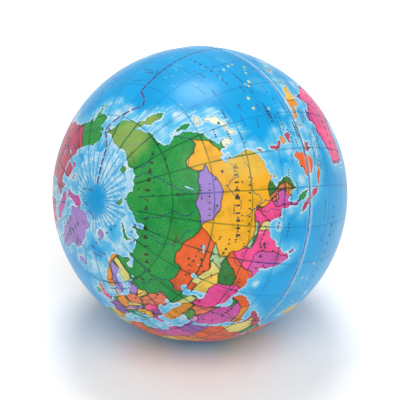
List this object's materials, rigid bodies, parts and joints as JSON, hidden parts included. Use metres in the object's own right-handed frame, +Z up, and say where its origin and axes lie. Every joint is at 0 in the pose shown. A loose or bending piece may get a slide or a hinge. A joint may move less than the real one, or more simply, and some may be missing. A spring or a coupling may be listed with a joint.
{
  "type": "stress ball",
  "caption": "Soft foam stress ball printed as a globe of the world, with a moulded seam around its equator.",
  "frame": {"origin": "middle of the small flat patch that the ball rests on", "axes": "+Z up. The globe's pole axis leans 71 degrees from +Z towards 225 degrees counter-clockwise from +X, so the north pole faces -X, -Y and a little up, and the equator's seam passes behind and to the right of the resting patch"},
  "size_m": [0.063, 0.063, 0.0628],
  "materials": {
    "foam": "cream flexible polyurethane foam with a closed moulded skin",
    "north_print": "satin heat-transfer film, sea blue with a political map of the northern half of the world",
    "south_print": "satin heat-transfer film, sea blue with a political map of the southern half of the world"
  },
  "bodies": {
    "south_half": {"foam_core": "foam", "south_film": "south_print"},
    "north_half": {"north_film": "north_print"}
  },
  "joints": [
    {"name": "squeeze", "type": "slide", "parent": "south_half", "child": "north_half", "axis": [0.6686, 0.6686, -0.3256], "range_m": [0, 0.025], "stiffness_N_per_m": 1600, "deforming": ["foam_core", "north_film", "south_film"]}
  ]
}
